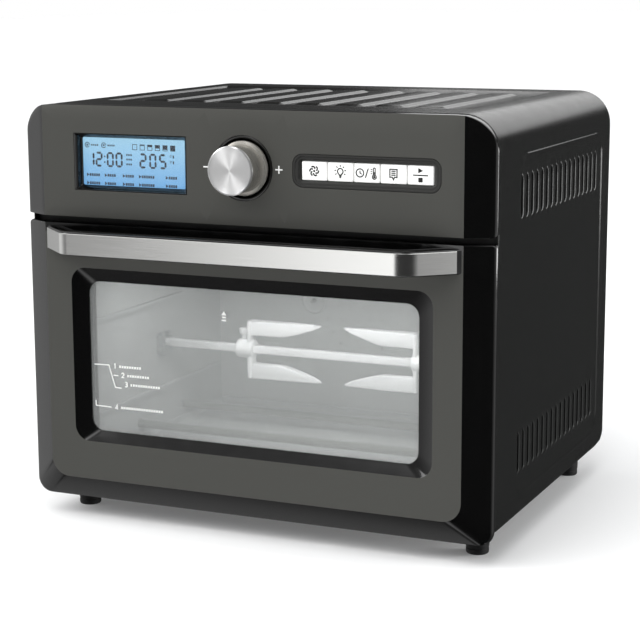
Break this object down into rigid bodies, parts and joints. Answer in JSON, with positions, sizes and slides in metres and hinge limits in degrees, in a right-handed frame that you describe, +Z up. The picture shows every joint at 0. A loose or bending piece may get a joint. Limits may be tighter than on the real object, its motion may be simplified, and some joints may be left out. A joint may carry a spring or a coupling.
{
  "type": "toaster oven",
  "caption": "Counter-top toaster oven: bottom-hinged glass door, bar handle, display, dial, push keys, rotisserie spit, fan, louvred cover, cylindrical feet.",
  "frame": {"origin": "centre of the overall box in plan, at the level of the feet's soles", "axes": "+X to the right seen from the front, +Y towards the back, +Z up; the door and controls face -Y"},
  "size_m": [0.39, 0.345, 0.333],
  "materials": {
    "black_enamel": "gloss black enamel on sheet steel",
    "titanium_moulding": "satin warm dark grey paint on a heat-proof moulding",
    "black_plastic": "gloss black",
    "clear_lens": "clear moulded window",
    "lcd": "blue backlit liquid crystal",
    "circuit_board": "solder resist green",
    "zinc_plate": "zinc-plated pressing",
    "spun_aluminium": "spun bright face",
    "satin_metal": "satin turned side",
    "steel_pin": "bright steel",
    "white_key": "white, printed symbols",
    "cavity_steel": "bright aluminised sheet",
    "ceramic": "unglazed steatite",
    "lamp_glass": "clear",
    "window_glass": "tempered, lightly mirrored",
    "foot_rubber": "black, matt",
    "seal_silicone": "grey braided seal",
    "brushed_strip": "lengthwise brushed"
  },
  "bodies": {
    "cabinet": {"wrap_cover": "black_enamel", "base_pan": "black_enamel", "back_panel": "black_enamel", "front_fascia": "titanium_moulding", "display_bezel": "black_plastic", "display_lens": "clear_lens", "display_module": "lcd", "control_board": "circuit_board", "power_board": "circuit_board", "encoder": "zinc_plate", "dial_ring": "black_plastic", "key_bezel": "titanium_moulding", "key_switches": "black_plastic", "face_frame": "black_enamel", "cavity_liner": "cavity_steel", "cavity_back_wall": "cavity_steel", "rack_rails": "cavity_steel", "fan_housing": "zinc_plate", "fan_motor": "zinc_plate", "upper_heaters": "steel_pin", "lower_heaters": "steel_pin", "heater_insulators": "ceramic", "rotisserie_motor": "zinc_plate", "spit_bracket": "cavity_steel", "crumb_tray": "cavity_steel", "lamp_holder": "zinc_plate", "lamp_bulb": "lamp_glass", "lamp_glass": "lamp_glass", "temperature_probe": "steel_pin", "foot_front_left": "foot_rubber", "foot_front_right": "foot_rubber", "foot_rear_left": "foot_rubber", "foot_rear_right": "foot_rubber", "inlet_gland": "black_plastic", "rear_screws": "black_enamel", "door_switch": "black_plastic", "hinge_brackets": "zinc_plate", "hinge_pins": "steel_pin"},
    "door": {"door_frame": "titanium_moulding", "door_glass_outer": "window_glass", "door_glass_inner": "window_glass", "door_inner_panel": "black_enamel", "door_seal": "seal_silicone", "hinge_arms": "zinc_plate", "handle_bar": "black_plastic", "handle_strip": "brushed_strip"},
    "dial": {"dial_cap": "spun_aluminium", "dial_body": "satin_metal", "encoder_shaft": "steel_pin"},
    "spit": {"spit_rod": "steel_pin", "fork_left": "steel_pin", "fork_right": "steel_pin", "fork_screws": "steel_pin", "spit_socket": "steel_pin"},
    "fan": {"convection_fan": "spun_aluminium"},
    "key_fan_body": {"key_fan": "white_key"},
    "key_lamp_body": {"key_lamp": "white_key"},
    "key_time_body": {"key_time": "white_key"},
    "key_menu_body": {"key_menu": "white_key"},
    "key_start_body": {"key_start": "white_key"}
  },
  "joints": [
    {"name": "door_hinge", "type": "hinge", "parent": "cabinet", "child": "door", "pos_m": [0, -0.1295, 0.027], "axis": [1, 0, 0], "range_deg": [0, 80]},
    {"name": "dial_turn", "type": "hinge", "parent": "cabinet", "child": "dial", "pos_m": [0, -0.1425, 0.2895], "axis": [0, 1, 0], "continuous": true},
    {"name": "spit_turn", "type": "hinge", "parent": "cabinet", "child": "spit", "pos_m": [0, 0.0075, 0.1195], "axis": [1, 0, 0], "continuous": true},
    {"name": "fan_turn", "type": "hinge", "parent": "cabinet", "child": "fan", "pos_m": [0, 0.1195, 0.139], "axis": [0, 1, 0], "continuous": true},
    {"name": "key_fan_press", "type": "slide", "parent": "cabinet", "child": "key_fan_body", "axis": [0, 1, 0], "range_m": [0, 0.0012], "stiffness_N_per_m": 400},
    {"name": "key_lamp_press", "type": "slide", "parent": "cabinet", "child": "key_lamp_body", "axis": [0, 1, 0], "range_m": [0, 0.0012], "stiffness_N_per_m": 400},
    {"name": "key_time_press", "type": "slide", "parent": "cabinet", "child": "key_time_body", "axis": [0, 1, 0], "range_m": [0, 0.0012], "stiffness_N_per_m": 400},
    {"name": "key_menu_press", "type": "slide", "parent": "cabinet", "child": "key_menu_body", "axis": [0, 1, 0], "range_m": [0, 0.0012], "stiffness_N_per_m": 400},
    {"name": "key_start_press", "type": "slide", "parent": "cabinet", "child": "key_start_body", "axis": [0, 1, 0], "range_m": [0, 0.0012], "stiffness_N_per_m": 400}
  ]
}
